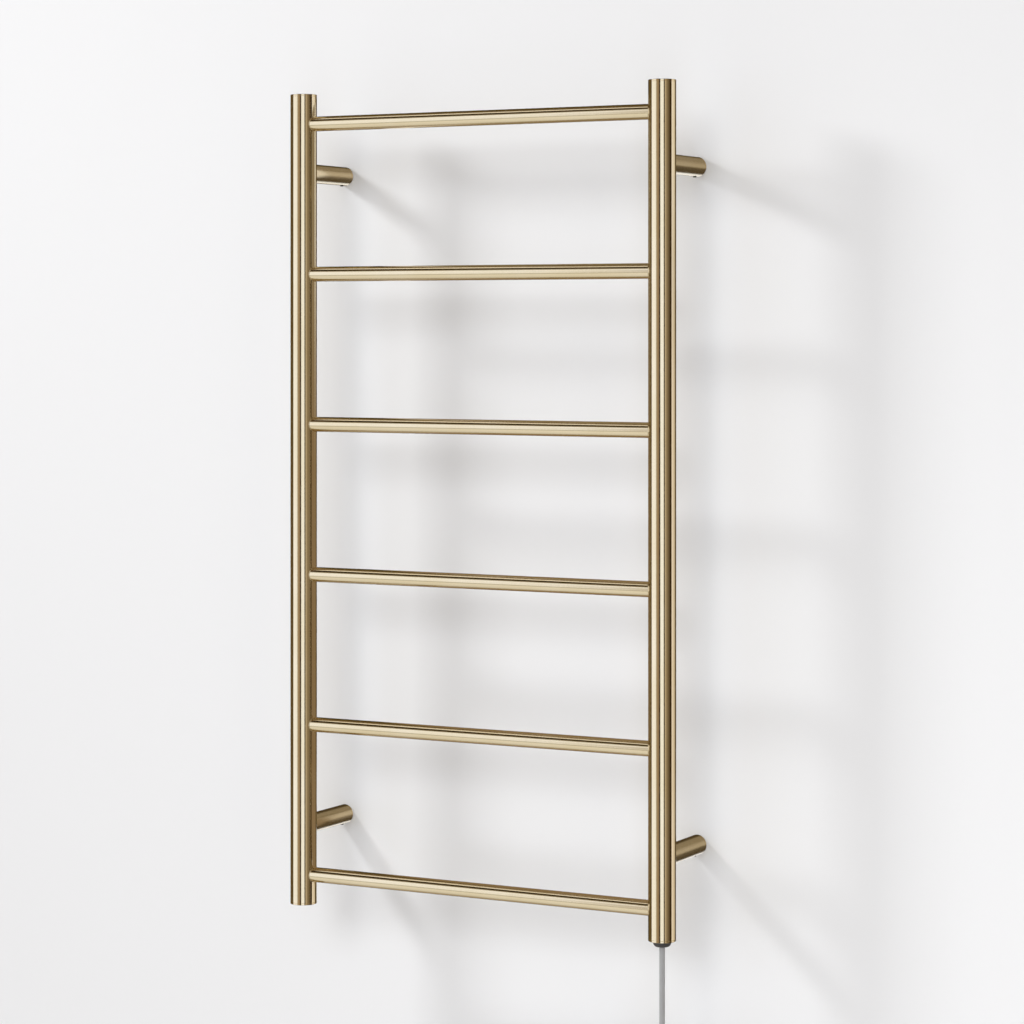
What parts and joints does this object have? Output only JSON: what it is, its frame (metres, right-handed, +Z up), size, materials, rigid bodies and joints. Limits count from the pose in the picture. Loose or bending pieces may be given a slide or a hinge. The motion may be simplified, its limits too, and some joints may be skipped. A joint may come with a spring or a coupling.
{
  "type": "towel warmer rack",
  "caption": "Wall-hung electric towel rail: a ladder of round satin brass tubes on short wall posts, with a cable gland and a mains cord under one stile.",
  "frame": {"origin": "centre of the rectangle of four wall screws, on the wall's surface", "axes": "+X to the right along the rungs, +Y into the wall, +Z up along the stiles; the rail stands off the wall towards -Y"},
  "size_m": [0.5143, 0.114, 1.309],
  "materials": {
    "brass_satin": "satin brushed brass, lacquered",
    "spigot_steel": "turned, zinc plated",
    "grub_screw_steel": "black oxide",
    "gland_plastic": "moulded nylon",
    "seal_rubber": "moulded rubber",
    "tag_steel": "tinned",
    "cord_sheath": "extruded PVC, semi-matt",
    "live_insulation": "extruded PVC",
    "neutral_insulation": "extruded PVC",
    "earth_insulation": "extruded PVC",
    "fuse_ceramic": "glazed",
    "shrink_sleeve": "heat-shrink sleeve",
    "heating_cable_silicone": "silicone",
    "strap_fabric": "woven hook-and-loop strap",
    "plug_moulding": "moulded PVC",
    "plug_metal": "nickel plated"
  },
  "bodies": {
    "wall_mounts": {"wall_spigot_top_left": "spigot_steel", "wall_spigot_top_right": "spigot_steel", "wall_spigot_bottom_left": "spigot_steel", "wall_spigot_bottom_right": "spigot_steel"},
    "rail": {"stile_left": "brass_satin", "stile_right": "brass_satin", "rung_1": "brass_satin", "rung_2": "brass_satin", "rung_3": "brass_satin", "rung_4": "brass_satin", "rung_5": "brass_satin", "rung_6": "brass_satin", "end_cap_top_left": "brass_satin", "end_cap_top_right": "brass_satin", "end_cap_bottom_left": "brass_satin", "end_cap_bottom_right": "brass_satin", "wall_post_top_left": "brass_satin", "wall_post_top_right": "brass_satin", "wall_post_bottom_left": "brass_satin", "wall_post_bottom_right": "brass_satin", "gland_body": "gland_plastic", "gland_seal": "seal_rubber", "gland_dome_nut": "gland_plastic", "gland_lock_nut": "gland_plastic", "earth_tag": "tag_steel", "cord_inner_end": "cord_sheath", "live_core": "live_insulation", "neutral_core": "neutral_insulation", "earth_core": "earth_insulation", "thermal_fuse": "fuse_ceramic", "splice_sleeve": "shrink_sleeve", "heating_cable": "heating_cable_silicone", "cable_end_seal": "shrink_sleeve", "power_cord": "cord_sheath", "cord_hank": "cord_sheath", "cord_tail": "cord_sheath", "hank_strap": "strap_fabric", "plug_strain_relief": "plug_moulding", "plug_body": "plug_moulding", "plug_pins": "plug_metal", "plug_earth_clips": "plug_metal"},
    "grub_screw_top_left": {"grub_screw_top_left": "grub_screw_steel"},
    "grub_screw_top_right": {"grub_screw_top_right": "grub_screw_steel"},
    "grub_screw_bottom_left": {"grub_screw_bottom_left": "grub_screw_steel"},
    "grub_screw_bottom_right": {"grub_screw_bottom_right": "grub_screw_steel"}
  },
  "joints": [
    {"name": "rail_slide", "type": "slide", "parent": "wall_mounts", "child": "rail", "axis": [0, -1, 0], "range_m": [0, 0.03]},
    {"name": "grub_screw_top_left_travel", "type": "slide", "parent": "rail", "child": "grub_screw_top_left", "axis": [0, 0, -1], "range_m": [0, 0.002]},
    {"name": "grub_screw_top_right_travel", "type": "slide", "parent": "rail", "child": "grub_screw_top_right", "axis": [0, 0, -1], "range_m": [0, 0.002]},
    {"name": "grub_screw_bottom_left_travel", "type": "slide", "parent": "rail", "child": "grub_screw_bottom_left", "axis": [0, 0, -1], "range_m": [0, 0.002]},
    {"name": "grub_screw_bottom_right_travel", "type": "slide", "parent": "rail", "child": "grub_screw_bottom_right", "axis": [0, 0, -1], "range_m": [0, 0.002]}
  ]
}
